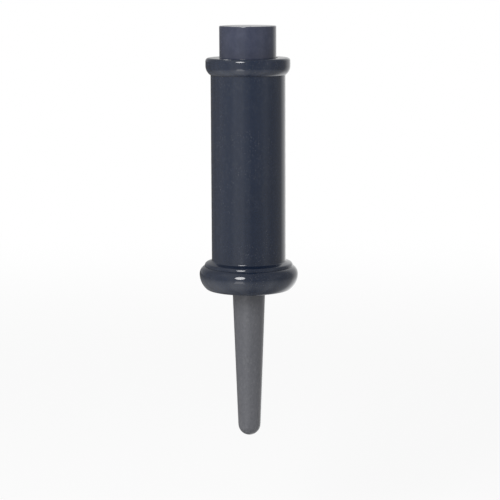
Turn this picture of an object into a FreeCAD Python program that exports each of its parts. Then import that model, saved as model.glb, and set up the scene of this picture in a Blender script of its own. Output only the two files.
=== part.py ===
import FreeCAD, Part
import math
import os
from types import SimpleNamespace
import Sketcher

# Press-top wine opener. A gas cartridge stands valve down in a barrel. Pressing the cartridge
# down over its valve stem lets gas through a hollow needle that has been pushed through the cork.
#
# Frame: +Z up along the common axis, origin where the collar's underside meets the barrel.
# Lengths are millimetres.

# Driving sizes: name, value, what it is.
SIZES = [
    # Press cap on the cartridge's base
    ("cap_radius", 17.5, "outer radius of the press cap"),
    ("cap_exposed", 19.4, "height of the cap that stands out of the collar at rest"),
    ("cap_height", 27.0, "height of the cap with its skirt"),
    ("cap_wall", 0.9, "wall of the cap's skirt"),
    ("cap_crown", 1.6, "thickness of the cap's crown"),
    ("cap_edge", 0.5, "rounding of the cap's upper edge"),
    ("cap_rib_height", 1.2, "ribs under the crown, on which the can's foot seats"),
    ("cap_rib_width", 1.0, "thickness of those ribs"),
    ("cap_rib_inner", 6.0, "radius at which those ribs begin"),
    ("cap_rib_count", 8, "number of those ribs"),
    # Cartridge can
    ("can_fit", 0.1, "radial clearance of the can in the cap"),
    ("can_wall", 0.45, "wall of the can"),
    ("can_base", 0.8, "thickness of the can's domed base"),
    ("can_foot", 2.5, "rounding of the can's foot"),
    ("can_foot_width", 1.0, "flat width of the can's foot"),
    ("can_dome", 5.0, "depth of the domed base"),
    ("can_shoulder", 5.0, "height of the can's shoulder"),
    ("can_neck_height", 6.0, "height of the neck up to the shoulder, from the bead's lowest point"),
    ("can_neck_wall", 0.55, "wall of the neck"),
    ("mouth_radius", 12.7, "radius of the can's mouth"),
    ("bead_radius", 1.5, "radius of the rolled bead's section"),
    ("bead_tail", 0.75, "height of the bead's inner end above its centre"),
    # Valve
    ("cup_sheet", 0.4, "sheet of the valve cup"),
    ("cup_depth", 7.4, "height of the valve cup from rim to floor"),
    ("crimp_radius", 13.3, "outer radius of the crimp under the bead"),
    ("gasket_section", 0.4, "thickness of the gasket between bead and cup"),
    ("seal_play", 0.02, "room on each side of a seal or a brazed joint"),
    ("pedestal_radius", 5.7, "outer radius of the cup's raised centre"),
    ("pedestal_drop", 0.6, "height by which the raised centre stands proud of the rim"),
    ("stem_radius", 2.0, "outer radius of the valve stem"),
    ("stem_bore", 0.8, "radius of the stem's bore"),
    ("stem_port", 0.3, "radius of the stem's side orifice"),
    ("stem_play", 0.05, "radial clearance of the stem in its gasket"),
    ("stem_hole_play", 0.2, "radial clearance of the stem in the cup's raised centre"),
    ("stem_bevel", 0.4, "chamfer at the stem's tip"),
    ("stem_flange", 2.9, "radius of the stem's flange"),
    ("stem_flange_height", 1.2, "thickness of the stem's flange"),
    ("stem_pilot", 1.5, "radius of the pilot that centres the spring"),
    ("stem_pilot_height", 2.0, "height of that pilot"),
    ("stem_gasket", 1.0, "thickness of the stem gasket"),
    ("cage_shoulder", 5.0, "height of the valve housing's wide part"),
    ("cage_radius", 4.3, "outer radius of the valve housing's slim part"),
    ("cage_bore", 3.2, "radius of the valve housing's bore"),
    ("cage_depth", 14.0, "depth of that bore"),
    ("cage_end", 1.5, "thickness of the valve housing's end"),
    ("inlet_radius", 1.0, "radius of the inlet in that end"),
    ("spring_wire", 0.25, "radius of the spring's wire"),
    ("spring_radius", 2.2, "radius of the spring's centre line"),
    ("spring_turns", 6, "number of the spring's turns"),
    ("spring_seat_gap", 0.05, "gap between the spring's wire and each seat"),
    # Barrel and collar
    ("barrel_radius", 22.95, "outer radius of the barrel"),
    ("barrel_wall", 2.4, "wall of the barrel"),
    ("barrel_length", 116.0, "barrel from the collar's underside to its shoulder"),
    ("shoulder_inset", 3.5, "radius by which the shoulder's edge lies inside the flange's belly"),
    ("shoulder_drop", 1.7, "fall of the shoulder's slope"),
    ("shoulder_lip", 1.1, "height of the shoulder's upright edge"),
    ("shoulder_fillet", 1.0, "fillet between barrel and shoulder"),
    ("shoulder_edge", 0.9, "rounding of the shoulder's edge"),
    ("bulkhead", 3.0, "thickness of the barrel's floor"),
    ("floor_fillet", 1.2, "fillet between the barrel's floor and its wall"),
    ("guide_play", 0.6, "radial clearance of the can between the guide ribs"),
    ("guide_width", 1.6, "thickness of a guide rib"),
    ("guide_count", 8, "number of guide ribs"),
    ("guide_top", 4.0, "depth of the ribs' upper ends below the origin"),
    ("guide_lead", 2.0, "height of the slope at the ribs' upper ends"),
    ("gusset_height", 6.0, "height of a rib's foot at the wall"),
    ("gusset_toe", 0.8, "height of a rib's foot at its inner end"),
    ("gusset_inner", 10.5, "radius at which a rib's foot begins"),
    ("collar_stand", 3.15, "radius by which the collar stands out past the barrel"),
    ("collar_height", 10.3, "height of the collar"),
    ("collar_band", 5.45, "height at which the collar's upright band begins"),
    ("collar_edge", 2.0, "rounding of the collar's upper edge"),
    ("collar_crown", 3.0, "thickness of the collar's top"),
    ("collar_lip", 0.5, "thickness of the collar's lower lip"),
    ("mouth_play", 0.6, "radial clearance of the cap in the collar"),
    ("mouth_edge", 0.6, "rounding of the collar's mouth"),
    ("socket_play", 0.05, "radial clearance of the barrel's ends in their sockets"),
    ("snap_height", 0.35, "height of the snap ridge round the barrel"),
    ("snap_half", 0.6, "half the width of the snap ridge"),
    ("snap_level", 3.5, "height of the snap ridge above the origin"),
    # Base flange
    ("flange_radius", 30.7, "largest radius of the base flange"),
    ("flange_belly", 9.6, "height of that radius above the underside"),
    ("flange_height", 14.5, "height of the base flange"),
    ("flange_step", 0.3, "radius by which the flange's top stands out past the shoulder"),
    ("foot_inset", 4.5, "radius by which the flange's lower rim lies inside its belly"),
    ("flange_edge", 2.1, "rounding of that rim"),
    ("flange_floor", 2.4, "thickness of the flange's floor"),
    ("flange_wall", 2.4, "wall of the flange, which is cored out from above"),
    ("flange_rib_width", 1.6, "thickness of the ribs in the flange"),
    ("flange_rib_count", 12, "number of the ribs in the flange"),
    ("flange_rib_relief", 0.5, "gap between those ribs and the shoulder"),
    ("recess_radius", 15.75, "radius of the recess for the bottle's mouth"),
    ("recess_depth", 9.5, "depth of that recess"),
    ("recess_lead", 1.2, "chamfer at the recess's mouth"),
    # Needle hub and its fasteners
    ("hub_shank", 5.0, "radius of the hub's threaded shank"),
    ("hub_hole_play", 0.2, "radial clearance of the shank in the floors and the washer"),
    ("hub_thread_play", 0.05, "radial clearance of the shank in the nut"),
    ("hub_nose", 2.0, "height of the shank above the nut"),
    ("hub_bevel", 0.6, "chamfer at the shank's upper end"),
    ("hub_boss", 8.0, "radius of the hub's boss, which carries the guard"),
    ("hub_boss_height", 4.5, "height of that boss"),
    ("hub_boss_bevel", 0.5, "chamfer at the boss's lower end"),
    ("hub_seal_radius", 7.6, "outer radius of the seal above the boss"),
    ("hub_seal_height", 0.6, "thickness of that seal"),
    ("washer_radius", 9.0, "outer radius of the washer"),
    ("washer_height", 1.0, "thickness of the washer"),
    ("nut_flats", 16.0, "width of the nut across its flats"),
    ("nut_height", 5.0, "height of the nut"),
    ("nut_bevel", 1.0, "height of the chamfer on the nut's corners"),
    ("pocket_radius", 3.1, "radius of the hub's pocket for the stem"),
    ("pocket_depth", 5.0, "depth of that pocket"),
    ("seat_play", 0.05, "radial clearance of the stem seal in the pocket"),
    ("seat_height", 2.0, "thickness of the stem seal"),
    ("gas_radius", 0.9, "radius of the gas passage through seal and hub"),
    ("ring_section", 0.9, "radius of the guard ring's section"),
    ("ring_seat", 6.4, "radius of the groove's floor"),
    ("ring_play", 0.05, "room on each side of the guard ring in its groove"),
    # Needle
    ("needle_radius", 1.2, "outer radius of the needle"),
    ("needle_bore", 0.75, "radius of the needle's bore"),
    ("needle_seat", 10.0, "depth of the needle in the hub"),
    ("needle_reach", 82.0, "length of the needle below the flange's underside"),
    ("point_length", 6.0, "length of the needle's ground point"),
    ("point_plug", 4.0, "length of the point's plug in the bore"),
    ("port_radius", 0.45, "radius of the needle's side port"),
    ("port_rise", 6.0, "height of the side port above the point"),
    # Needle guard
    ("guard_radius", 10.2, "outer radius of the guard at the flange's underside"),
    ("guard_reach", 93.9, "length of the guard below the flange's underside"),
    ("guard_tip", 6.98, "radius of the guard's round tip"),
    ("guard_wall", 1.9, "wall of the guard"),
    ("guard_gap", 0.3, "gap between the guard's mouth and the recess's ceiling"),
    ("guard_land", 5.0, "depth of the guard's grip on the boss"),
    ("guard_play", 0.05, "radial clearance of the guard round its rubber ring"),
    # Travel
    ("press_travel", 3.0, "travel of the cartridge when it is pressed"),
    ("press_margin", 1.0, "room left between valve and hub when it is pressed"),
]

# Levels and radii that follow from the driving sizes: name, formula, what it is.
DERIVED = [
    ("cap_top", "collar_height + cap_exposed", "level of the cap's top"),
    ("cap_bore", "cap_radius - cap_wall", "inner radius of the cap"),
    ("can_radius", "cap_bore - can_fit", "outer radius of the can"),
    ("guide_radius", "can_radius + guide_play", "radius of the guide ribs' inner edges"),
    ("barrel_bore", "barrel_radius - barrel_wall", "inner radius of the barrel"),
    ("mouth_bore", "cap_radius + mouth_play", "radius of the collar's mouth"),
    ("socket_radius", "barrel_radius + socket_play", "radius of the sockets for the barrel"),
    ("spigot_top", "collar_height - collar_crown", "level of the barrel's upper end"),
    ("collar_radius", "barrel_radius + collar_stand", "outer radius of the collar"),
    ("shoulder_radius", "flange_radius - shoulder_inset", "radius of the flared shoulder"),
    ("flange_foot", "flange_radius - foot_inset", "radius of the flange's lower rim"),
    ("shoulder_seat", "-(barrel_length + shoulder_drop + shoulder_lip)",
     "level of the shoulder's underside"),
    ("underside", "shoulder_seat - flange_height", "level of the flange's underside"),
    ("ceiling", "underside + recess_depth", "level of the recess's ceiling"),
    ("floor_top", "ceiling + flange_floor", "level of the flange's floor"),
    ("bulkhead_top", "floor_top + bulkhead", "level of the barrel's floor"),
    ("hub_seat", "ceiling - hub_seal_height", "level of the boss's upper face"),
    ("hub_hole", "hub_shank + hub_hole_play", "radius of the holes for the shank"),
    ("washer_top", "bulkhead_top + washer_height", "level of the washer's top"),
    ("hub_top", "washer_top + nut_height + hub_nose", "level of the hub's upper end"),
    ("pocket_floor", "hub_top - pocket_depth", "level of the pocket's floor"),
    ("stem_tip", "pocket_floor + seat_height", "level of the valve stem's tip"),
    ("pedestal_low", "hub_top + press_travel + press_margin", "lowest level of the valve cup"),
    ("rim_low", "pedestal_low + pedestal_drop", "level of the valve cup's rim"),
    ("bead_centre", "mouth_radius + bead_radius", "radius of the bead's centre"),
    ("bead_height", "bead_radius + gasket_section + cup_sheet", "bead's centre above the rim"),
    ("bead_low", "rim_low + gasket_section + cup_sheet", "level of the bead's lowest point"),
    ("can_top", "cap_top - cap_crown - cap_rib_height", "level of the can's foot"),
    ("can_length", "can_top - bead_low", "length of the can"),
    ("gasket_low", "pedestal_low + cup_sheet", "level of the stem gasket's underside"),
    ("cage_low", "gasket_low + stem_gasket", "level of the valve housing's lower end"),
    ("pedestal_bore", "pedestal_radius - cup_sheet", "inner radius of the raised centre"),
    ("stem_length", "cage_low - stem_tip", "stem from its tip to its flange"),
    ("spring_low", "cage_low + stem_flange_height", "level of the spring's lower seat"),
    ("spring_high", "cage_low + cage_depth", "level of the spring's upper seat"),
    ("needle_top", "hub_seat - hub_boss_height + needle_seat", "level of the needle's upper end"),
    ("needle_tip", "underside - needle_reach", "level of the needle's tip"),
    ("needle_end", "needle_tip + point_length", "level at which the point begins"),
    ("needle_length", "needle_top - needle_end", "length of the needle's tube"),
    ("ring_level", "hub_seat - hub_boss_height / 2", "level of the guard ring"),
    ("ring_centre", "ring_seat + ring_section", "radius of the guard ring's centre line"),
    ("guard_mouth", "ceiling - guard_gap - underside", "guard's mouth above the underside"),
    ("guard_grip", "ring_centre + ring_section + guard_play", "radius of the guard's grip"),
    ("guard_round", "guard_reach - guard_tip", "tip's centre below the flange's underside"),
]


class Size:
    """A number together with the formula on the sheet that gives it."""

    def __init__(self, value, formula):
        self.value = float(value)
        self.formula = formula

    def __add__(self, other):
        other = as_size(other)
        return Size(self.value + other.value, "(%s + %s)" % (self.formula, other.formula))

    def __sub__(self, other):
        other = as_size(other)
        return Size(self.value - other.value, "(%s - %s)" % (self.formula, other.formula))

    def __mul__(self, other):
        other = as_size(other)
        return Size(self.value * other.value, "(%s * %s)" % (self.formula, other.formula))

    def __truediv__(self, other):
        other = as_size(other)
        return Size(self.value / other.value, "(%s / %s)" % (self.formula, other.formula))

    def __neg__(self):
        return Size(-self.value, "(-1 * %s)" % self.formula)


def as_size(number):
    """Take a plain number as a size."""
    if isinstance(number, Size):
        return number
    return Size(number, repr(number))


ZERO = Size(0, "0")


def make_sheet(doc):
    """Write the driving and the derived sizes to the sheet and return them by name."""
    sheet = doc.addObject("Spreadsheet::Sheet", "Sizes")
    rows = [(name, str(value), note) for name, value, note in SIZES]
    rows += [(name, "=" + formula, note) for name, formula, note in DERIVED]
    for row, (name, content, note) in enumerate(rows, start=1):
        sheet.set("A%d" % row, name)
        sheet.set("B%d" % row, content)
        sheet.set("C%d" % row, note)
        sheet.setAlias("B%d" % row, name)
    doc.recompute()
    names = [name for name, content, note in rows]
    return SimpleNamespace(**{name: Size(sheet.get(name), "Sizes." + name) for name in names})


def new_body(doc, label, level=ZERO):
    """Start a body whose local origin lies on the axis at the given level."""
    body = doc.addObject("PartDesign::Body", "Body")
    body.Label = label
    body.setExpression("Placement.Base.z", level.formula)
    return body


def new_sketch(body, name, role):
    """Attach a sketch to one of the body's own origin planes."""
    sketch = body.newObject("Sketcher::SketchObject", name)
    plane = next(item for item in body.Origin.OriginFeatures if item.Role == role)
    sketch.AttachmentSupport = [(plane, "")]
    sketch.MapMode = "FlatFace"
    return sketch


def bind(sketch, kind, geometry, end, size):
    """Hold one end of an edge at a bound distance from the sketch's origin."""
    rule = Sketcher.Constraint(kind, -1, 1, geometry, end, size.value)
    index = sketch.addConstraint(rule)
    sketch.setExpression("Constraints[%d]" % index, size.formula)


def arc_edge(start, finish, radius, side):
    """Arc between two points; side is 1 with its centre on the left of the way, -1 on the right."""
    chord = finish.sub(start)
    middle = start.add(finish).multiply(0.5)
    rise = math.sqrt(radius ** 2 - (chord.Length / 2) ** 2)
    normal = FreeCAD.Vector(-chord.y, chord.x, 0).normalize()
    centre = middle.add(normal.multiply(side * rise))
    first, last = (start, finish) if side > 0 else (finish, start)
    angles = [math.atan2(point.y - centre.y, point.x - centre.x) for point in (first, last)]
    circle = Part.Circle(centre, FreeCAD.Vector(0, 0, 1), radius)
    return Part.ArcOfCircle(circle, angles[0], angles[1])


def outline(body, name, corners, role="XZ_Plane"):
    """Closed outline through corners (across, up) or (across, up, (radius, side)).

    The third item makes the edge that leaves the corner an arc.
    """
    sketch = new_sketch(body, name, role)
    points = [FreeCAD.Vector(corner[0].value, corner[1].value, 0) for corner in corners]
    ends = []
    for index, corner in enumerate(corners):
        start = points[index]
        finish = points[(index + 1) % len(points)]
        if len(corner) == 2:
            sketch.addGeometry(Part.LineSegment(start, finish), False)
            ends.append((1, 2))
            continue
        radius, side = corner[2]
        sketch.addGeometry(arc_edge(start, finish, radius.value, side), False)
        ends.append((1, 2) if side > 0 else (2, 1))
    for index, corner in enumerate(corners):
        following = (index + 1) % len(corners)
        joint = Sketcher.Constraint("Coincident", index, ends[index][1], following, ends[following][0])
        sketch.addConstraint(joint)
        bind(sketch, "DistanceX", index, ends[index][0], corner[0])
        bind(sketch, "DistanceY", index, ends[index][0], corner[1])
        if len(corner) == 3:
            radius = corner[2][0]
            rule = sketch.addConstraint(Sketcher.Constraint("Radius", index, radius.value))
            sketch.setExpression("Constraints[%d]" % rule, radius.formula)
    return sketch


def circle_sketch(body, name, role, radius, level=None):
    """One circle, on the sketch's origin or at a level straight above it."""
    sketch = new_sketch(body, name, role)
    height = 0 if level is None else level.value
    centre = FreeCAD.Vector(0, height, 0)
    sketch.addGeometry(Part.Circle(centre, FreeCAD.Vector(0, 0, 1), radius.value), False)
    if level is None:
        sketch.addConstraint(Sketcher.Constraint("Coincident", -1, 1, 0, 3))
    else:
        sketch.addConstraint(Sketcher.Constraint("PointOnObject", 0, 3, -2))
        bind(sketch, "DistanceY", 0, 3, level)
    rule = sketch.addConstraint(Sketcher.Constraint("Radius", 0, radius.value))
    sketch.setExpression("Constraints[%d]" % rule, radius.formula)
    return sketch


def turn(body, name, corners, kind="PartDesign::Revolution"):
    """Revolve an outline about the axis, to add material or, as a groove, to take it away."""
    sketch = outline(body, name + "_outline", corners)
    feature = body.newObject(kind, name)
    feature.Profile = sketch
    feature.ReferenceAxis = (sketch, ["V_Axis"])
    feature.Angle = 360
    body.Document.recompute()
    return feature


def pad(body, name, sketch, length, both_ways=False):
    """Pad a sketch by a bound length."""
    feature = body.newObject("PartDesign::Pad", name)
    feature.Profile = sketch
    feature.setExpression("Length", length.formula)
    feature.Midplane = both_ways
    body.Document.recompute()
    return feature


def cut(body, name, sketch, length, reverse=False, both_ways=False):
    """Pocket a sketch by a bound length and make sure that it takes material away."""
    before = body.Shape.Volume
    feature = body.newObject("PartDesign::Pocket", name)
    feature.Profile = sketch
    feature.setExpression("Length", length.formula)
    feature.Reversed = reverse
    feature.Midplane = both_ways
    body.Document.recompute()
    if body.Shape.Volume >= before:
        raise RuntimeError("%s takes nothing away" % name)
    return feature


def ring_of(body, name, feature, count):
    """Repeat a feature evenly round the axis."""
    pattern = body.newObject("PartDesign::PolarPattern", name)
    pattern.Originals = [feature]
    axis = next(item for item in body.Origin.OriginFeatures if item.Role == "Z_Axis")
    pattern.Axis = (axis, [""])
    pattern.Angle = 360
    pattern.setExpression("Occurrences", count.formula)
    body.Tip = pattern
    body.Document.recompute()
    return pattern


def dress(body, name, kind, base, size, circles):
    """Round or bevel the circular edges at the given (radius, level) pairs."""
    names = []
    for index, edge in enumerate(base.Shape.Edges, start=1):
        if not isinstance(edge.Curve, Part.Circle):
            continue
        spot = (edge.Curve.Radius, edge.Curve.Center.z)
        if any(abs(spot[0] - r.value) + abs(spot[1] - z.value) < 1e-4 for r, z in circles):
            names.append("Edge%d" % index)
    if len(names) != len(circles):
        raise RuntimeError("%s finds %d of %d edges" % (name, len(names), len(circles)))
    feature = body.newObject(kind, name)
    feature.Base = (base, names)
    feature.setExpression("Radius" if kind.endswith("Fillet") else "Size", size.formula)
    body.Document.recompute()
    return feature


def tangent_radius(across, along):
    """Radius of an arc that starts along the axis and moves by these amounts."""
    return (across * across + along * along) / (across * 2)


def dome_radius(half_width, depth):
    """Radius of a dome of this half width and depth."""
    return (half_width * half_width + depth * depth) / (depth * 2)


def make_press_cap(doc, s):
    """Moulded cap over the can's base, with ribs under its crown."""
    body = new_body(doc, "press_cap", s.cap_top - s.cap_height)
    inner_top = s.cap_height - s.cap_crown
    shell = turn(body, "shell", [
        (s.cap_bore, ZERO),
        (s.cap_radius, ZERO),
        (s.cap_radius, s.cap_height),
        (ZERO, s.cap_height),
        (ZERO, inner_top),
        (s.cap_bore, inner_top),
    ])
    dress(body, "edge", "PartDesign::Fillet", shell, s.cap_edge, [(s.cap_radius, s.cap_height)])
    rib_outline = outline(body, "rib_outline", [
        (s.cap_rib_inner, inner_top - s.cap_rib_height),
        (s.cap_bore + s.cap_wall / 2, inner_top - s.cap_rib_height),
        (s.cap_bore + s.cap_wall / 2, inner_top + s.cap_crown / 2),
        (s.cap_rib_inner, inner_top + s.cap_crown / 2),
    ])
    rib = pad(body, "rib", rib_outline, s.cap_rib_width, both_ways=True)
    ring_of(body, "ribs", rib, s.cap_rib_count)
    return body


def make_cartridge_can(doc, s):
    """Drawn can, open at its beaded mouth, with a domed base; its local origin is at the mouth."""
    body = new_body(doc, "cartridge_can", s.bead_low)
    inner = s.can_radius - s.can_wall
    neck_inner = s.bead_centre - s.can_neck_wall
    shoulder_top = s.can_neck_height + s.can_shoulder
    wall_top = s.can_length - s.can_foot
    dome = s.can_radius - s.can_foot - s.can_foot_width
    dome_arc = dome_radius(dome, s.can_dome)
    inside_top = s.can_length - s.can_base
    turn(body, "can", [
        (s.mouth_radius, s.bead_radius, (s.bead_radius, 1)),
        (s.bead_centre, ZERO, (s.bead_radius, 1)),
        (s.bead_centre + s.bead_radius, s.bead_radius, (s.bead_radius, 1)),
        (s.bead_centre, s.bead_radius * 2),
        (s.bead_centre, s.can_neck_height,
         (tangent_radius(s.can_radius - s.bead_centre, s.can_shoulder), 1)),
        (s.can_radius, shoulder_top),
        (s.can_radius, wall_top, (s.can_foot, 1)),
        (s.can_radius - s.can_foot, s.can_length),
        (dome, s.can_length, (dome_arc, -1)),
        (ZERO, s.can_length - s.can_dome),
        (ZERO, inside_top - s.can_dome, (dome_arc, 1)),
        (dome, inside_top),
        (s.can_radius - s.can_foot, inside_top, (s.can_foot - s.can_wall, -1)),
        (inner, wall_top),
        (inner, shoulder_top, (tangent_radius(inner - neck_inner, s.can_shoulder), -1)),
        (neck_inner, s.can_neck_height),
        (neck_inner, s.bead_radius * 2),
        (s.mouth_radius, s.bead_radius + s.bead_tail),
    ])
    return body


def make_valve_cup(doc, s):
    """Sheet metal cup, curled over the bead, crimped under it and raised in its centre."""
    body = new_body(doc, "valve_cup", s.rim_low)
    under = s.bead_radius + s.gasket_section
    over = under + s.cup_sheet
    outer = s.bead_centre - under
    inner = outer - s.cup_sheet
    crimp_low = s.bead_height + s.bead_radius
    crimp_mid = crimp_low + (s.crimp_radius - outer)
    crimp_high = crimp_mid + (s.crimp_radius - outer)
    crimp_inner = s.crimp_radius - s.cup_sheet * math.sqrt(2)
    floor = s.cup_depth - s.cup_sheet
    hole = s.stem_radius + s.stem_hole_play
    turn(body, "cup", [
        (s.bead_centre + under, s.bead_height),
        (s.bead_centre + under, s.bead_height + s.cup_sheet),
        (s.bead_centre + over, s.bead_height + s.cup_sheet),
        (s.bead_centre + over, s.bead_height, (over, -1)),
        (s.bead_centre, ZERO, (over, -1)),
        (inner, s.bead_height),
        (inner, crimp_low + s.cup_sheet / 2),
        (crimp_inner, crimp_mid),
        (inner, crimp_high - s.cup_sheet / 2),
        (inner, floor),
        (s.pedestal_radius, floor),
        (s.pedestal_radius, -s.pedestal_drop),
        (hole, -s.pedestal_drop),
        (hole, s.cup_sheet - s.pedestal_drop),
        (s.pedestal_bore, s.cup_sheet - s.pedestal_drop),
        (s.pedestal_bore, s.cup_depth),
        (outer, s.cup_depth),
        (outer, crimp_high),
        (s.crimp_radius, crimp_mid),
        (outer, crimp_low),
        (outer, s.bead_height, (under, 1)),
        (s.bead_centre, s.cup_sheet, (under, 1)),
    ])
    return body


def make_cup_gasket(doc, s):
    """Rubber sleeve pressed between the bead and the curl of the cup."""
    body = new_body(doc, "cup_gasket", s.rim_low)
    inside = s.bead_radius + s.seal_play
    outside = s.bead_radius + s.gasket_section - s.seal_play
    level = s.bead_height
    turn(body, "gasket", [
        (s.bead_centre - outside, level, (outside, 1)),
        (s.bead_centre, level - outside, (outside, 1)),
        (s.bead_centre + outside, level),
        (s.bead_centre + inside, level, (inside, -1)),
        (s.bead_centre, level - inside, (inside, -1)),
        (s.bead_centre - inside, level),
    ])
    return body


def make_valve_housing(doc, s):
    """Cage held in the cup's raised centre; it guides the stem's flange and holds the spring."""
    body = new_body(doc, "valve_housing", s.cage_low)
    outer = s.pedestal_bore - s.seal_play
    length = s.cage_depth + s.cage_end
    turn(body, "cage", [
        (s.cage_bore, ZERO),
        (outer, ZERO),
        (outer, s.cage_shoulder),
        (s.cage_radius, s.cage_shoulder + (outer - s.cage_radius)),
        (s.cage_radius, length - s.cage_end / 2),
        (s.cage_radius - s.cage_end / 2, length),
        (s.inlet_radius, length),
        (s.inlet_radius, s.cage_depth),
        (s.cage_bore, s.cage_depth),
    ])
    return body


def make_stem_gasket(doc, s):
    """Rubber disc under the valve housing, with the stem through it."""
    body = new_body(doc, "stem_gasket", s.gasket_low)
    turn(body, "disc", [
        (s.stem_radius + s.stem_play, ZERO),
        (s.pedestal_bore - s.seal_play, ZERO),
        (s.pedestal_bore - s.seal_play, s.stem_gasket),
        (s.stem_radius + s.stem_play, s.stem_gasket),
    ])
    return body


def make_valve_stem(doc, s):
    """Hollow stem with a side orifice that its gasket closes at rest."""
    body = new_body(doc, "valve_stem", s.stem_tip)
    flange_top = s.stem_length + s.stem_flange_height
    port_level = s.stem_length - s.stem_gasket / 2
    turn(body, "stem", [
        (s.stem_bore, ZERO),
        (s.stem_radius - s.stem_bevel, ZERO),
        (s.stem_radius, s.stem_bevel),
        (s.stem_radius, s.stem_length),
        (s.stem_flange, s.stem_length),
        (s.stem_flange, flange_top),
        (s.stem_pilot, flange_top),
        (s.stem_pilot, flange_top + s.stem_pilot_height),
        (ZERO, flange_top + s.stem_pilot_height),
        (ZERO, s.stem_length),
        (s.stem_bore, s.stem_length),
    ])
    port = circle_sketch(body, "orifice_outline", "XZ_Plane", s.stem_port, port_level)
    cut(body, "orifice", port, s.stem_flange * 2, both_ways=True)
    return body


def helix_point(radius, angle, rise):
    """Point of a helix and its tangent; rise is the height gained per radian."""
    point = FreeCAD.Vector(radius * math.cos(angle), radius * math.sin(angle), rise * angle)
    tangent = FreeCAD.Vector(-radius * math.sin(angle), radius * math.cos(angle), rise)
    return point, tangent.normalize()


def tangent_arc(start, corner, finish):
    """Arc from start to finish whose end tangents meet at the corner."""
    chord = finish.sub(start)
    lean = corner.sub(start).getAngle(chord)
    middle = start.add(finish).multiply(0.5)
    sagitta = chord.Length / 2 * math.tan(lean / 2)
    top = middle.add(corner.sub(middle).normalize().multiply(sagitta))
    return Part.Arc(start, top, finish).toShape()


def biarc(first, first_way, last, last_way):
    """Two tangent arcs that join two points along two directions."""
    span = last.sub(first)
    ways = first_way.add(last_way)
    square = 2 * (1 - first_way.dot(last_way))
    linear = 2 * span.dot(ways)
    reach = (math.sqrt(linear ** 2 + 4 * square * span.dot(span)) - linear) / (2 * square)
    near = first.add(FreeCAD.Vector(first_way).multiply(reach))
    far = last.sub(FreeCAD.Vector(last_way).multiply(reach))
    joint = near.add(far).multiply(0.5)
    return [tangent_arc(first, near, joint), tangent_arc(joint, far, last)]


def least_self_gap(radius, rise, turns, wire):
    """Least gap between the wire's surface and itself, on points along its centre line."""
    steps = 72
    points = [helix_point(radius, 2 * math.pi * index / steps, rise)[0]
              for index in range(int(turns * steps) + 1)]
    gaps = [points[i].distanceToPoint(points[j])
            for i in range(len(points)) for j in range(i + steps // 2, len(points))]
    return min(gaps) - 2 * wire


def make_valve_spring(doc, s):
    """Wound spring between the stem's flange and the end of the valve housing."""
    wire = s.spring_wire.value
    radius = s.spring_radius.value
    turns = s.spring_turns.value
    margin = wire + s.spring_seat_gap.value
    height = s.spring_high.value - s.spring_low.value - 2 * margin
    rise = height / (2 * math.pi * turns)
    quarters = int(round(turns * 4))
    edges = []
    for quarter in range(quarters):
        start, start_way = helix_point(radius, math.pi / 2 * quarter, rise)
        finish, finish_way = helix_point(radius, math.pi / 2 * (quarter + 1), rise)
        edges += biarc(start, start_way, finish, finish_way)
    start, start_way = helix_point(radius, 0, rise)
    section = Part.Wire([Part.Circle(start, start_way, wire).toShape()])
    spring = doc.addObject("Part::Feature", "Spring")
    spring.Label = "valve_spring"
    spring.Shape = Part.Wire(edges).makePipeShell([section], True, False)
    spring.Placement = FreeCAD.Placement(
        FreeCAD.Vector(0, 0, s.spring_low.value + margin), FreeCAD.Rotation())
    gap = least_self_gap(radius, rise, turns, wire)
    print("valve_spring: least gap to itself %.2f mm" % gap)
    return spring


def make_barrel(doc, s):
    """Tube with a floor, a flared shoulder, a snap ridge and guide ribs with gusset feet."""
    body = new_body(doc, "barrel")
    slope_low = -(s.barrel_length + s.shoulder_drop)
    tube = turn(body, "tube", [
        (s.barrel_bore, s.spigot_top),
        (s.barrel_bore, s.bulkhead_top),
        (s.hub_hole, s.bulkhead_top),
        (s.hub_hole, s.floor_top),
        (s.barrel_radius, s.floor_top),
        (s.barrel_radius, s.shoulder_seat),
        (s.shoulder_radius, s.shoulder_seat),
        (s.shoulder_radius, slope_low),
        (s.barrel_radius, -s.barrel_length),
        (s.barrel_radius, s.snap_level - s.snap_half),
        (s.barrel_radius + s.snap_height, s.snap_level),
        (s.barrel_radius, s.snap_level + s.snap_half),
        (s.barrel_radius, s.spigot_top),
    ])
    root = dress(body, "shoulder_root", "PartDesign::Fillet", tube, s.shoulder_fillet,
                 [(s.barrel_radius, -s.barrel_length)])
    rim = dress(body, "shoulder_rim", "PartDesign::Fillet", root, s.shoulder_edge,
                [(s.shoulder_radius, slope_low)])
    dress(body, "floor_root", "PartDesign::Fillet", rim, s.floor_fillet,
          [(s.barrel_bore, s.bulkhead_top)])
    embedded = s.barrel_bore + s.barrel_wall / 2
    rib_outline = outline(body, "guide_outline", [
        (s.gusset_inner, s.bulkhead_top - s.bulkhead / 2),
        (embedded, s.bulkhead_top - s.bulkhead / 2),
        (embedded, -s.guide_top),
        (s.barrel_bore, -s.guide_top),
        (s.guide_radius, -s.guide_top - s.guide_lead),
        (s.guide_radius, s.bulkhead_top + s.gusset_height),
        (s.gusset_inner, s.bulkhead_top + s.gusset_toe),
    ])
    rib = pad(body, "guide", rib_outline, s.guide_width, both_ways=True)
    ring_of(body, "guides", rib, s.guide_count)
    return body


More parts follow.
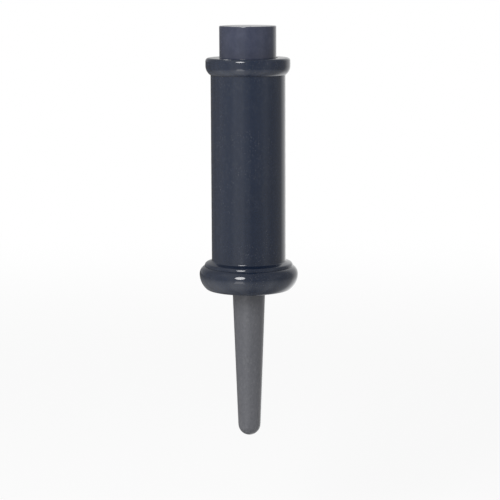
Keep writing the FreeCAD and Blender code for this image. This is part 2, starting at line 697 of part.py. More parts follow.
def make_collar(doc, s):
    """Rounded ring that snaps over the barrel's upper end and narrows its mouth."""
    body = new_body(doc, "collar")
    lip = s.socket_radius + s.collar_lip
    taper = s.collar_radius - lip
    ring = turn(body, "ring", [
        (s.socket_radius, ZERO),
        (lip, ZERO, (tangent_radius(taper, s.collar_band), 1)),
        (s.collar_radius, s.collar_band),
        (s.collar_radius, s.collar_height),
        (s.mouth_bore, s.collar_height),
        (s.mouth_bore, s.spigot_top),
        (s.socket_radius, s.spigot_top),
        (s.socket_radius, s.snap_level + s.snap_half),
        (s.socket_radius + s.snap_height, s.snap_level),
        (s.socket_radius, s.snap_level - s.snap_half),
    ])
    edge = dress(body, "edge", "PartDesign::Fillet", ring, s.collar_edge,
                 [(s.collar_radius, s.collar_height)])
    dress(body, "mouth", "PartDesign::Fillet", edge, s.mouth_edge,
          [(s.mouth_bore, s.collar_height)])
    return body


def make_base_flange(doc, s):
    """Bulging ring under the shoulder, recessed below for the bottle's mouth.

    It is cored out from above to an even wall, with ribs that carry the barrel's foot, and
    then bored for that foot.
    """
    body = new_body(doc, "base_flange", s.underside)
    top = s.shoulder_radius + s.flange_step
    upper = tangent_radius(s.flange_radius - top, s.flange_height - s.flange_belly)
    lower = tangent_radius(s.flange_radius - s.flange_foot, s.flange_belly)
    ring = turn(body, "ring", [
        (s.hub_hole, s.flange_height),
        (s.hub_hole, s.recess_depth),
        (s.recess_radius, s.recess_depth),
        (s.recess_radius, s.recess_lead),
        (s.recess_radius + s.recess_lead, ZERO),
        (s.flange_foot, ZERO, (lower, 1)),
        (s.flange_radius, s.flange_belly, (upper, 1)),
        (top, s.flange_height),
    ])
    dress(body, "edge", "PartDesign::Fillet", ring, s.flange_edge, [(s.flange_foot, ZERO)])
    core_radius = s.recess_radius + s.flange_wall
    inner_foot = s.flange_foot - s.flange_wall
    inner_belly = s.flange_radius - s.flange_wall
    turn(body, "coring", [
        (core_radius, s.flange_wall),
        (inner_foot, s.flange_wall,
         (tangent_radius(inner_belly - inner_foot, s.flange_belly - s.flange_wall), 1)),
        (inner_belly, s.flange_belly),
        (top - s.flange_wall, s.flange_height),
        (core_radius, s.flange_height),
    ], "PartDesign::Groove")
    half_wall = s.flange_wall / 2
    rib_top = s.flange_height - s.flange_rib_relief
    rib_outline = outline(body, "rib_outline", [
        (s.recess_radius + half_wall, half_wall),
        (s.flange_foot - half_wall, half_wall),
        (s.flange_radius - half_wall, s.flange_belly),
        (top - half_wall, rib_top),
        (s.recess_radius + half_wall, rib_top),
    ])
    rib = pad(body, "rib", rib_outline, s.flange_rib_width, both_ways=True)
    ring_of(body, "ribs", rib, s.flange_rib_count)
    turn(body, "socket", [
        (ZERO, s.recess_depth + s.flange_floor),
        (s.socket_radius, s.recess_depth + s.flange_floor),
        (s.socket_radius, s.flange_height),
        (ZERO, s.flange_height),
    ], "PartDesign::Groove")
    return body


def make_needle_hub(doc, s):
    """Turned hub: boss for the guard below, shank through both floors, stem pocket above."""
    body = new_body(doc, "needle_hub", s.hub_seat)
    top = s.hub_top - s.hub_seat
    groove_half = s.ring_section + s.ring_play
    groove_level = -s.hub_boss_height / 2
    bore = s.needle_radius + s.seal_play
    turn(body, "hub", [
        (bore, -s.hub_boss_height),
        (s.hub_boss - s.hub_boss_bevel, -s.hub_boss_height),
        (s.hub_boss, s.hub_boss_bevel - s.hub_boss_height),
        (s.hub_boss, groove_level - groove_half),
        (s.ring_seat, groove_level - groove_half),
        (s.ring_seat, groove_level + groove_half),
        (s.hub_boss, groove_level + groove_half),
        (s.hub_boss, ZERO),
        (s.hub_shank, ZERO),
        (s.hub_shank, top - s.hub_bevel),
        (s.hub_shank - s.hub_bevel, top),
        (s.pocket_radius + s.hub_bevel, top),
        (s.pocket_radius, top - s.hub_bevel),
        (s.pocket_radius, top - s.pocket_depth),
        (s.gas_radius, top - s.pocket_depth),
        (s.gas_radius, s.needle_seat - s.hub_boss_height),
        (bore, s.needle_seat - s.hub_boss_height),
    ])
    return body


def make_hub_seal(doc, s):
    """Rubber washer that keeps wine out of the barrel."""
    body = new_body(doc, "hub_seal", s.hub_seat)
    pad(body, "disc", circle_sketch(body, "disc_outline", "XY_Plane", s.hub_seal_radius),
        s.hub_seal_height)
    hole = circle_sketch(body, "hole_outline", "XY_Plane", s.hub_hole)
    cut(body, "hole", hole, s.hub_seal_height, reverse=True)
    return body


def make_hub_washer(doc, s):
    """Flat washer between the barrel's floor and the nut."""
    body = new_body(doc, "hub_washer", s.bulkhead_top)
    pad(body, "disc", circle_sketch(body, "disc_outline", "XY_Plane", s.washer_radius),
        s.washer_height)
    hole = circle_sketch(body, "hole_outline", "XY_Plane", s.hub_hole)
    cut(body, "hole", hole, s.washer_height, reverse=True)
    return body


def make_hub_nut(doc, s):
    """Hexagon nut with bevelled corners."""
    body = new_body(doc, "hub_nut", s.washer_top)
    corner = s.nut_flats / math.sqrt(3)
    corners = []
    for index in range(6):
        angle = math.radians(60 * index)
        corners.append((corner * math.cos(angle), corner * math.sin(angle)))
    pad(body, "hexagon", outline(body, "hexagon_outline", corners, "XY_Plane"), s.nut_height)
    bore = circle_sketch(body, "bore_outline", "XY_Plane", s.hub_shank + s.hub_thread_play)
    cut(body, "bore", bore, s.nut_height, reverse=True)
    flat = s.nut_flats / 2
    beyond = corner + s.nut_bevel
    rise = s.nut_bevel * (beyond - flat) / (corner - flat)
    for name, end, inwards in (("lower", ZERO, 1), ("upper", s.nut_height, -1)):
        turn(body, name + "_bevel", [
            (flat, end),
            (beyond, end),
            (beyond, end + rise * inwards),
        ], "PartDesign::Groove")
    return body


def make_stem_seal(doc, s):
    """Rubber seat at the bottom of the hub's pocket."""
    body = new_body(doc, "stem_seal", s.pocket_floor)
    outer = s.pocket_radius - s.seat_play
    turn(body, "seat", [
        (s.gas_radius, ZERO),
        (outer, ZERO),
        (outer, s.seat_height),
        (s.gas_radius, s.seat_height),
    ])
    return body


def make_guard_ring(doc, s):
    """Rubber ring in the boss's groove that grips the guard's mouth."""
    ring = doc.addObject("Part::Torus", "Torus")
    ring.Label = "guard_ring"
    ring.setExpression("Radius1", s.ring_centre.formula)
    ring.setExpression("Radius2", s.ring_section.formula)
    ring.setExpression("Placement.Base.z", s.ring_level.formula)
    return ring


def make_needle(doc, s):
    """Hollow needle with one side port near its point; its local origin is its upper end."""
    body = new_body(doc, "needle", s.needle_top)
    turn(body, "tube", [
        (s.needle_bore, ZERO),
        (s.needle_bore, -s.needle_length),
        (s.needle_radius, -s.needle_length),
        (s.needle_radius, ZERO),
    ])
    port = circle_sketch(body, "port_outline", "XZ_Plane", s.port_radius,
                         s.port_rise - s.needle_length)
    cut(body, "port", port, s.needle_radius * 2)
    return body


def make_needle_point(doc, s):
    """Solid ground point, brazed into the needle's bore by its plug."""
    body = new_body(doc, "needle_point", s.needle_end)
    plug = s.needle_bore - s.seal_play
    turn(body, "point", [
        (ZERO, -s.point_length),
        (s.needle_radius, ZERO),
        (plug, ZERO),
        (plug, s.point_plug),
        (ZERO, s.point_plug),
    ])
    return body


def make_needle_guard(doc, s):
    """Hollow tapered sheath; its local origin lies level with the flange's underside."""
    body = new_body(doc, "needle_guard", s.underside)
    slope = (s.guard_radius - s.guard_tip) / s.guard_round
    land_low = s.guard_mouth - s.guard_land
    inner_tip = s.guard_tip - s.guard_wall
    turn(body, "sheath", [
        (s.guard_grip, s.guard_mouth),
        (s.guard_grip, land_low),
        (s.guard_radius + slope * land_low - s.guard_wall, land_low),
        (inner_tip, -s.guard_round, (inner_tip, -1)),
        (ZERO, -s.guard_round - inner_tip),
        (ZERO, -s.guard_reach, (s.guard_tip, 1)),
        (s.guard_tip, -s.guard_round),
        (s.guard_radius + slope * s.guard_mouth, s.guard_mouth),
    ])
    return body


MAKERS = [
    make_press_cap,
    make_cartridge_can,
    make_valve_cup,
    make_cup_gasket,
    make_valve_housing,
    make_stem_gasket,
    make_valve_stem,
    make_valve_spring,
    make_barrel,
    make_collar,
    make_base_flange,
    make_needle_hub,
    make_hub_seal,
    make_hub_washer,
    make_hub_nut,
    make_stem_seal,
    make_guard_ring,
    make_needle,
    make_needle_point,
    make_needle_guard,
]


def verify(doc, parts):
    """Stop if any object failed or any sub-part has no valid solid."""
    for item in doc.Objects:
        if "Invalid" in item.State or "Error" in item.State:
            raise RuntimeError("%s (%s) failed: %s" % (item.Label, item.Name, item.State))
    for part in parts:
        if part.Shape.isNull() or not part.Shape.isValid() or not part.Shape.Solids:
            raise RuntimeError("%s has no valid solid" % part.Label)


def main():
    """Build every sub-part, check it and write its file."""
    doc = FreeCAD.newDocument("wine_opener")
    sizes = make_sheet(doc)
    parts = [make(doc, sizes) for make in MAKERS]
    doc.recompute()
    verify(doc, parts)
    os.makedirs("parts", exist_ok=True)
    for part in parts:
        part.Shape.exportStep("parts/%s.step" % part.Label)


main()
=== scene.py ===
import math

import bpy
from mathutils import Matrix, Vector


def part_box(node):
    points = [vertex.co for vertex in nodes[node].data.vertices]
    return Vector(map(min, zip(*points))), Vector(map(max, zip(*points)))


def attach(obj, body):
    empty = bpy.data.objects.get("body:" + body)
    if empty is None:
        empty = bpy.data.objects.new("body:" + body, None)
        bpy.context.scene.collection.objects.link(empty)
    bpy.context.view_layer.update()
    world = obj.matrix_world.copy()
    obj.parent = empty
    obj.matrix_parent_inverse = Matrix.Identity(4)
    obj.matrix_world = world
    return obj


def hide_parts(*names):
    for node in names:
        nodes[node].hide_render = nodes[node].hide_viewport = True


# Press-top wine opener: finishes, fine trim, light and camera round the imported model.
# Metres, +Z up; the sizes inside the functions that make trim are in millimetres.

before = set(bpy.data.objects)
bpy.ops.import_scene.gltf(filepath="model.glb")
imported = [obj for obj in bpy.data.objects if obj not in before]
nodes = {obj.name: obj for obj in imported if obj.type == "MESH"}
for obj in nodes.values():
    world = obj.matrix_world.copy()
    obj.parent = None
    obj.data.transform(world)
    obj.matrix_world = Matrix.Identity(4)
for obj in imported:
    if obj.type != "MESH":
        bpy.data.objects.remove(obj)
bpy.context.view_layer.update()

MM = 0.001

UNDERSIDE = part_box("base_flange")[0][2]
CAP_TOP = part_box("press_cap")[1][2]
GUARD_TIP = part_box("needle_guard")[0][2]

# Camera, as the photograph was taken
CAMERA_PLACE = Vector((0.0008, -1.1154, 0.0676))
CAMERA_PITCH = math.radians(-9.0)
CAMERA_ROLL = math.radians(-0.24)
CAMERA_LENS = 130.5
CAMERA_SENSOR = 36.0
CAMERA_REACH = 100.0

# Floor: the share of it that takes shadows, which fades out between two distances from the object
FLOOR_LEVEL = -0.335
FLOOR_RADIUS = 12.0
FLOOR_SIDES = 96
FLOOR_COLOUR = 0.86
SHADOW_ZONE = (0.5, 1.6)
SHADOW_SHARE = 0.16

# Softboxes: name, azimuth from the camera's side, elevation, distance, size, radiance
LIGHT_AIM = Vector((0, 0, -60 * MM))
LIGHTS = [
    ("key", -22, 28, 1.4, (0.54, 0.84), 14.0),
    ("back", -171, 53, 1.1, (0.42, 0.32), 8.0),
]
WORLD_FILL = 0.45

# Tones that the gloss mirrors: in front by sideways direction, behind by depth, each from 0 to 1
FRONT_TONES = [(0.0, 0.78), (0.08, 0.80), (0.17, 1.06), (0.32, 1.04), (0.45, 0.74), (0.60, 0.50),
               (0.80, 0.58), (0.91, 0.74), (1.0, 0.52)]
LEFT_TONES = [(0.0, 0.78), (0.35, 0.54), (0.65, 0.30), (1.0, 0.14)]
RIGHT_TONES = [(0.0, 0.52), (0.45, 0.52), (0.72, 1.0), (1.0, 1.15)]
# The mirrored floor has painted light near the object and painted shade right under it, by distance
PAINTED_LIGHT_ZONE = (0.35, 1.1)
PAINTED_LIGHT_GAIN = 1.9
PAINTED_SHADE_ZONE = (0.03, 0.24)
PAINTED_SHADE_TONE = 0.4
# Painted glint, a pale streak of the key light painted on the mirrored floor: distance, half width, tone
PAINTED_GLINT_REACH = (0.45, 1.4)
PAINTED_GLINT_WIDTH = 0.15
PAINTED_GLINT_TONE = 2.0


class Graph:
    """Node tree with short calls for what the finishes below need."""

    def __init__(self, tree):
        self.nodes = tree.nodes
        self.links = tree.links

    def node(self, kind, **settings):
        made = self.nodes.new(kind)
        for name, value in settings.items():
            setattr(made, name, value)
        return made

    def put(self, socket, value):
        """Set a socket to a number or colour, or link another socket to it."""
        if isinstance(value, bpy.types.NodeSocket):
            self.links.new(value, socket)
        else:
            socket.default_value = value

    def math(self, operation, first, second=0.0):
        made = self.node("ShaderNodeMath", operation=operation)
        self.put(made.inputs[0], first)
        self.put(made.inputs[1], second)
        return made.outputs[0]

    def add(self, first, *others):
        """Sum of numbers."""
        total = first
        for other in others:
            total = self.math("ADD", total, other)
        return total

    def minus(self, first, second):
        """Difference of two numbers."""
        return self.math("SUBTRACT", first, second)

    def times(self, first, second):
        """Product of two numbers or shares."""
        return self.math("MULTIPLY", first, second)

    def most(self, first, second):
        """Larger of two numbers."""
        return self.math("MAXIMUM", first, second)

    def spread(self, value, low, high, to_low=0.0, to_high=1.0, smooth=True):
        """Map a value from one range to another, within its ends."""
        kind = "SMOOTHSTEP" if smooth else "LINEAR"
        made = self.node("ShaderNodeMapRange", interpolation_type=kind)
        for index, item in enumerate((value, low, high, to_low, to_high)):
            self.put(made.inputs[index], item)
        return made.outputs[0]

    def ramp(self, value, stops):
        """Smooth curve through (position, tone) stops, for a value from 0 to 1."""
        made = self.node("ShaderNodeValToRGB")
        made.color_ramp.interpolation = "EASE"
        elements = made.color_ramp.elements
        while len(elements) < len(stops):
            elements.new(1.0)
        for element, (position, tone) in zip(elements, stops):
            element.position = position
            element.color = (tone, tone, tone, 1.0)
        self.put(made.inputs[0], value)
        return made.outputs[0]

    def mix(self, share, first, second):
        """Blend two colours."""
        made = self.node("ShaderNodeMix", data_type="RGBA")
        self.put(made.inputs[0], share)
        self.put(made.inputs[6], first)
        self.put(made.inputs[7], second)
        return made.outputs[2]

    def blend(self, share, first, second):
        """Blend two numbers."""
        return self.add(first, self.times(self.minus(second, first), share))

    def place(self, stretch=(1, 1, 1)):
        """The piece's own coordinates, in metres, stretched along its axes."""
        source = self.node("ShaderNodeTexCoord").outputs["Object"]
        made = self.node("ShaderNodeVectorMath", operation="MULTIPLY")
        self.put(made.inputs[0], source)
        self.put(made.inputs[1], stretch)
        return made.outputs[0]

    def axes(self, place):
        """The three coordinates of a place or direction."""
        split = self.node("ShaderNodeSeparateXYZ")
        self.put(split.inputs[0], place)
        return split.outputs[0], split.outputs[1], split.outputs[2]

    def length(self, x, y):
        """Length of a level vector."""
        return self.math("SQRT", self.add(self.times(x, x), self.times(y, y)))

    def polar(self):
        """Distance from the axis and level, in metres."""
        x, y, z = self.axes(self.place())
        return self.length(x, y), z

    def noise(self, per_metre, detail=2.0, rough=0.5, stretch=(1, 1, 1)):
        """Cloudy noise from 0 to 1; a share below 1 in stretch draws it out along that axis."""
        made = self.node("ShaderNodeTexNoise")
        self.put(made.inputs["Vector"], self.place(stretch))
        self.put(made.inputs["Scale"], per_metre)
        self.put(made.inputs["Detail"], detail)
        self.put(made.inputs["Roughness"], rough)
        return made.outputs[0]

    def streaks(self, value, per_metre):
        """Uneven lines of equal value, from 0 to 1."""
        made = self.node("ShaderNodeTexNoise", noise_dimensions="1D")
        self.put(made.inputs["W"], self.times(value, per_metre))
        self.put(made.inputs["Scale"], 1.0)
        self.put(made.inputs["Detail"], 3.0)
        return made.outputs[0]

    def bump(self, height, distance, under=None):
        """Raise the surface by a height of 0 to 1 times a distance in metres."""
        made = self.node("ShaderNodeBump")
        self.put(made.inputs["Strength"], 1.0)
        self.put(made.inputs["Distance"], distance)
        self.put(made.inputs["Height"], height)
        if under is not None:
            self.put(made.inputs["Normal"], under)
        return made.outputs[0]


class Finish(Graph):
    """A material with its main shader at hand."""

    def __init__(self, name):
        self.material = bpy.data.materials.new(name)
        self.material.use_nodes = True
        super().__init__(self.material.node_tree)
        self.shader = self.nodes["Principled BSDF"]

    def set(self, **values):
        """Set the shader's sockets; an underscore stands for a space in a socket's name."""
        for name, value in values.items():
            self.put(self.shader.inputs[name.replace("_", " ")], value)


def rgb(red, green, blue):
    """Colour of the surface, linear."""
    return (red, green, blue, 1.0)


def gloss_black():
    """Polished black moulding: flow marks, handling film, smears, hairlines, dust, a scuffed seat below."""
    f = Finish("gloss_black")
    deep, shallow = rgb(0.0045, 0.0100, 0.0250), rgb(0.0064, 0.0130, 0.0310)
    lint = rgb(0.22, 0.22, 0.23)
    seat_low, seat_high = UNDERSIDE + 0.1 * MM, UNDERSIDE + 0.4 * MM
    radius, level = f.polar()
    flow = f.spread(f.noise(22, 3.0, 0.55, (1, 1, 0.35)), 0.35, 0.65)
    patch = f.spread(f.noise(40, 2.0, 0.5), 0.4, 0.6)
    dust = f.times(f.spread(f.noise(2600, 0.0, 0.5), 0.775, 0.81), patch)
    smear = f.spread(f.noise(70, 5.0, 0.6, (1, 1, 0.5)), 0.45, 0.75)
    hairline = f.spread(f.noise(420, 2.0, 0.7, (1, 1, 0.04)), 0.64, 0.72)
    scuff = f.spread(f.streaks(radius, 2500), 0.2, 0.7, 0.55, 1.0)
    seat = f.times(f.spread(level, seat_high, seat_low), scuff)
    hand = f.spread(f.noise(30, 2.0, 0.5), 0.3, 0.6, 0.35, 1.0)
    film = f.times(f.spread(f.noise(420, 5.0, 0.75, (1, 1, 0.7)), 0.42, 0.74), hand)
    pale = f.add(f.times(film, 0.045), f.times(dust, 0.5), f.times(seat, 0.12))
    rough = f.add(0.05, f.times(smear, 0.05), f.times(film, 0.03), f.times(hairline, 0.06),
                  f.times(seat, 0.24), f.times(dust, 0.4))
    waves = f.bump(f.noise(60, 1.0, 0.4), 0.03 * MM)
    peel = f.bump(f.noise(900, 1.0, 0.5), 0.0012 * MM, waves)
    colour = f.mix(pale, f.mix(flow, deep, shallow), lint)
    f.set(Base_Color=colour, Roughness=rough, Normal=peel, IOR=1.5)
    return f.material


def cap_black():
    """Polished charcoal moulding, rubbed where the hand presses it, with its gate and insert marks."""
    f = Finish("cap_black")
    deep, shallow = rgb(0.027, 0.033, 0.060), rgb(0.039, 0.045, 0.076)
    rubbed, fleck_tone = rgb(0.075, 0.078, 0.090), rgb(0.08, 0.08, 0.10)
    crown_low, crown_high = CAP_TOP - 0.4 * MM, CAP_TOP - 0.1 * MM
    edge_inside, edge_outside, edge_low = 16.7 * MM, 17.3 * MM, CAP_TOP - 1.0 * MM
    palm_inside, palm_outside = 6 * MM, 15 * MM
    gate_inside, gate_outside = 0.9 * MM, 1.1 * MM
    insert_inside, insert_outside = 15.30 * MM, 15.38 * MM
    radius, level = f.polar()
    crown = f.spread(level, crown_low, crown_high)
    cloud = f.spread(f.noise(160, 6.0, 0.75), 0.35, 0.68)
    edge = f.times(f.spread(radius, edge_inside, edge_outside), f.spread(level, edge_low, CAP_TOP))
    edge = f.times(edge, f.spread(f.noise(350, 4.0, 0.7), 0.35, 0.6))
    palm = f.times(f.spread(radius, palm_outside, palm_inside), crown)
    fleck = f.spread(f.noise(2100, 1.0, 0.5), 0.70, 0.78)
    scratch = f.times(f.spread(f.noise(300, 2.0, 0.7, (1, 0.06, 1)), 0.62, 0.72), crown)
    colour = f.mix(f.times(edge, 0.5), f.mix(cloud, deep, shallow), rubbed)
    colour = f.mix(f.times(fleck, 0.15), colour, fleck_tone)
    rough = f.add(0.08, f.times(f.noise(160, 4.0, 0.6), 0.05), f.times(scratch, 0.12))
    rough = f.minus(rough, f.times(f.add(palm, edge), 0.04))
    gate = f.times(f.spread(radius, gate_outside, gate_inside), 0.6)
    insert = f.spread(radius, insert_inside, insert_outside)
    marks = f.bump(f.times(f.add(gate, insert), crown), 0.06 * MM)
    grain = f.bump(f.noise(2600, 2.0, 0.6), 0.002 * MM, marks)
    f.set(Base_Color=colour, Roughness=rough, Normal=grain, IOR=1.48)
    return f.material


def guard_grey():
    """Speckled spark-eroded grain on the guard, with draw marks along it and a rubbed tip."""
    f = Finish("guard_grey")
    deep, shallow = rgb(0.079, 0.081, 0.092), rgb(0.094, 0.095, 0.105)
    pit, peak, rubbed = rgb(0.050, 0.051, 0.058), rgb(0.140, 0.142, 0.150), rgb(0.16, 0.16, 0.17)
    tip_low, tip_high = GUARD_TIP + 1 * MM, GUARD_TIP + 9 * MM
    level = f.polar()[1]
    cloud = f.spread(f.noise(35, 3.0, 0.6, (1, 1, 0.4)), 0.35, 0.7)
    speckle = f.noise(750, 4.0, 0.8, (1, 1, 0.6))
    draw = f.spread(f.noise(500, 2.0, 0.6, (1, 1, 0.02)), 0.35, 0.8)
    tip = f.times(f.spread(level, tip_high, tip_low), f.spread(f.noise(420, 5.0, 0.7), 0.48, 0.62))
    colour = f.mix(f.spread(speckle, 0.5, 0.3, 0.0, 0.5), f.mix(cloud, deep, shallow), pit)
    colour = f.mix(f.spread(speckle, 0.5, 0.72, 0.0, 0.5), colour, peak)
    colour = f.mix(f.times(tip, 0.35), colour, rubbed)
    rough = f.minus(f.add(0.40, f.times(draw, 0.10)), f.times(tip, 0.12))
    grain = f.bump(f.noise(2400, 4.0, 0.7), 0.028 * MM)
    f.set(Base_Color=colour, Roughness=rough, Normal=grain, IOR=1.48)
    return f.material


def metal(name, pale, dark, rough, lines, per_metre, anisotropy=0.0):
    """Metal with a mottled colour and tool lines; lines gives their stretch along each axis."""
    f = Finish(name)
    mottle = f.spread(f.noise(260, 5.0, 0.65), 0.3, 0.7)
    marks = f.noise(per_metre, 2.0, 0.6, lines)
    f.set(Base_Color=f.mix(mottle, dark, pale), Metallic=1.0, Anisotropic=anisotropy,
          Roughness=f.add(rough * 0.7, f.times(marks, rough * 0.6)), Normal=f.bump(marks, 0.004 * MM))
    return f.material


def rubber():
    """Black rubber with a pale bloom."""
    f = Finish("rubber_black")
    bloom = f.spread(f.noise(300, 5.0, 0.65), 0.5, 0.8)
    f.set(Base_Color=f.mix(bloom, rgb(0.014, 0.014, 0.014), rgb(0.032, 0.032, 0.031)),
          Roughness=f.add(0.55, f.times(bloom, 0.2)),
          Normal=f.bump(f.noise(2500, 3.0, 0.6), 0.015 * MM))
    return f.material


def acetal():
    """Milky valve plastic."""
    f = Finish("acetal_white")
    cloud = f.noise(150, 3.0, 0.5)
    f.set(Base_Color=f.mix(cloud, rgb(0.72, 0.71, 0.67), rgb(0.80, 0.79, 0.76)),
          Roughness=f.add(0.3, f.times(cloud, 0.15)),
          Normal=f.bump(f.noise(1500, 2.0, 0.5), 0.006 * MM))
    return f.material


def wear(material, *names):
    """Give CAD nodes their finish."""
    for name in names:
        mesh = nodes[name].data
        mesh.materials.clear()
        mesh.materials.append(material)


# Stretch of the tool lines in metal: none, round the piece as on a lathe, along it as drawn
PLAIN = (1, 1, 1)
TURNED = (1, 1, 30)
DRAWN = (1, 1, 0.03)
GLOSS = gloss_black()
GREY = guard_grey()
TINPLATE = metal("cup_tinplate", rgb(0.70, 0.66, 0.56), rgb(0.58, 0.55, 0.47), 0.22, PLAIN, 500)
BRASS = metal("hub_brass", rgb(0.62, 0.42, 0.17), rgb(0.47, 0.31, 0.12), 0.24, TURNED, 300)
STEEL = metal("steel_ground", rgb(0.52, 0.52, 0.54), rgb(0.36, 0.36, 0.38), 0.22, TURNED, 400)
ALUMINIUM = metal("can_aluminium", rgb(0.66, 0.67, 0.69), rgb(0.60, 0.61, 0.63), 0.24, DRAWN, 900, 0.5)
wear(GLOSS, "barrel", "collar", "base_flange")
wear(cap_black(), "press_cap")
wear(GREY, "needle_guard")
wear(ALUMINIUM, "cartridge_can")
wear(TINPLATE, "valve_cup")
wear(BRASS, "needle_hub")
wear(STEEL, "needle", "needle_point", "hub_washer", "hub_nut", "valve_spring")
wear(rubber(), "cup_gasket", "stem_gasket", "stem_seal", "guard_ring", "hub_seal")
wear(acetal(), "valve_housing", "valve_stem")


def linked(name, data):
    """Object of a mesh, light or camera, linked into the scene."""
    made = bpy.data.objects.new(name, data)
    bpy.context.scene.collection.objects.link(made)
    return made


def piece(name, points, faces, material, body, crease=32):
    """Link a mesh given in millimetres, shade it smooth between its creases and let it ride."""
    mesh = bpy.data.meshes.new(name)
    mesh.from_pydata([Vector(point) * MM for point in points], [], faces)
    mesh.materials.append(material)
    mesh.polygons.foreach_set("use_smooth", [True] * len(mesh.polygons))
    mesh.update()
    mesh.set_sharp_from_angle(angle=math.radians(crease))
    made = linked(name, mesh)
    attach(made, body)
    return made


def closer(profile, step):
    """Closed profile with points added, off the axis, so that none of its edges is longer than a step."""
    dense = []
    for index, (radius, level) in enumerate(profile):
        after = profile[(index + 1) % len(profile)]
        parts = max(1, math.ceil(math.dist((radius, level), after) / step))
        if max(radius, after[0]) == 0:
            parts = 1
        for part in range(parts):
            share = part / parts
            dense.append((radius + (after[0] - radius) * share, level + (after[1] - level) * share))
    return dense


def rounded(profile, corner, radius, parts):
    """Profile with one corner replaced by an arc."""
    before, at, after = (Vector(profile[(corner + shift) % len(profile)]) for shift in (-1, 0, 1))
    back = (before - at).normalized()
    ahead = (after - at).normalized()
    half = math.acos(max(-1, min(1, back.dot(ahead)))) / 2
    centre = at + (back + ahead).normalized() * (radius / math.sin(half))
    start = at + back * (radius / math.tan(half)) - centre
    finish = at + ahead * (radius / math.tan(half)) - centre
    turn = start.angle_signed(finish)
    arc = []
    for part in range(parts + 1):
        arm = start.copy()
        arm.rotate(Matrix.Rotation(-turn * part / parts, 2))
        arc.append(tuple(centre + arm))
    return profile[:corner] + arc + profile[corner + 1:]


def bend(centre, radius, start, finish, parts):
    """Points of an arc between two angles in degrees."""
    angles = [math.radians(start + (finish - start) * part / parts) for part in range(parts + 1)]
    return [(centre[0] + radius * math.cos(a), centre[1] + radius * math.sin(a)) for a in angles]


def lathe(profile, count, shape=None):
    """Points and faces of a closed profile turned about the axis; shape may move each point."""
    points, rings = [], []
    for radius, level in profile:
        if radius == 0:
            rings.append([len(points)] * count)
            points.append((0, 0, level))
            continue
        rings.append(range(len(points), len(points) + count))
        for step in range(count):
            angle = 2 * math.pi * step / count
            r, z = shape(radius, level, angle) if shape else (radius, level)
            points.append((r * math.cos(angle), r * math.sin(angle), z))
    faces = []
    for index, ring in enumerate(rings):
        other = rings[(index + 1) % len(rings)]
        for step in range(count):
            turn = (step + 1) % count
            corners = list(dict.fromkeys((ring[step], other[step], other[turn], ring[turn])))
            if len(corners) > 2:
                faces.append(corners)
    return points, faces


def levels(node):
    """Lowest and highest level of a CAD node, in millimetres."""
    low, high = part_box(node)
    return low[2] / MM, high[2] / MM


def make_shoulder():
    """Full round shoulder of the barrel, from its wall down to the joint with the flange."""
    seat = levels("base_flange")[1]
    wall, edge, inside = 22.97, 27.5, 22.0
    foot, face, root, top = seat + 0.06, seat + 1.8, seat + 3.3, seat + 5.0
    edge_round, root_round = 2.0, 1.0
    profile = [(inside, foot), (edge, foot), (edge, face), (wall, root), (wall, top), (inside, top)]
    profile = rounded(profile, corner=3, radius=root_round, parts=8)
    profile = rounded(profile, corner=2, radius=edge_round, parts=12)
    points, faces = lathe(profile, count=240)
    piece("shoulder_rim", points, faces, GLOSS, "housing")


def make_hub():
    """Turned hub with a rolled thread along its shank."""
    low, high = levels("needle_hub")
    gas, needle, needle_depth = 0.9, 1.22, 10.0
    boss, boss_bevel, boss_height = 8.0, 0.5, 4.5
    ring_seat, ring_half = 6.4, 0.95
    shank, bevel, pocket, pocket_depth = 5.0, 0.6, 3.1, 5.0
    root, pitch, thread_length, flank = 4.45, 1.0, 8.2, 1.35
    core = root - 0.1
    seat = low + boss_height
    ring_low, ring_high = low + boss_height / 2 - ring_half, low + boss_height / 2 + ring_half
    thread_low = high - thread_length
    profile = [(needle, low), (boss - boss_bevel, low), (boss, low + boss_bevel), (boss, ring_low),
               (ring_seat, ring_low), (ring_seat, ring_high), (boss, ring_high), (boss, seat),
               (shank, seat), (shank, high - bevel), (shank - bevel, high), (pocket + bevel, high),
               (pocket, high - bevel), (pocket, high - pocket_depth), (gas, high - pocket_depth),
               (gas, low + needle_depth), (needle, low + needle_depth)]

    def thread(radius, level, angle):
        if radius < core or level < thread_low:
            return radius, level
        phase = (level / pitch - angle / (2 * math.pi)) % 1.0
        crest = min(1.0, flank * abs(2 * phase - 1))
        fade = min(1.0, (level - thread_low) / pitch)
        return min(radius, shank - (shank - root) * (1 - crest) * fade), level

    points, faces = lathe(closer(profile, pitch / 8), count=72, shape=thread)
    made = piece("hub_threaded", points, faces, BRASS, "housing")
    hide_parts("needle_hub")


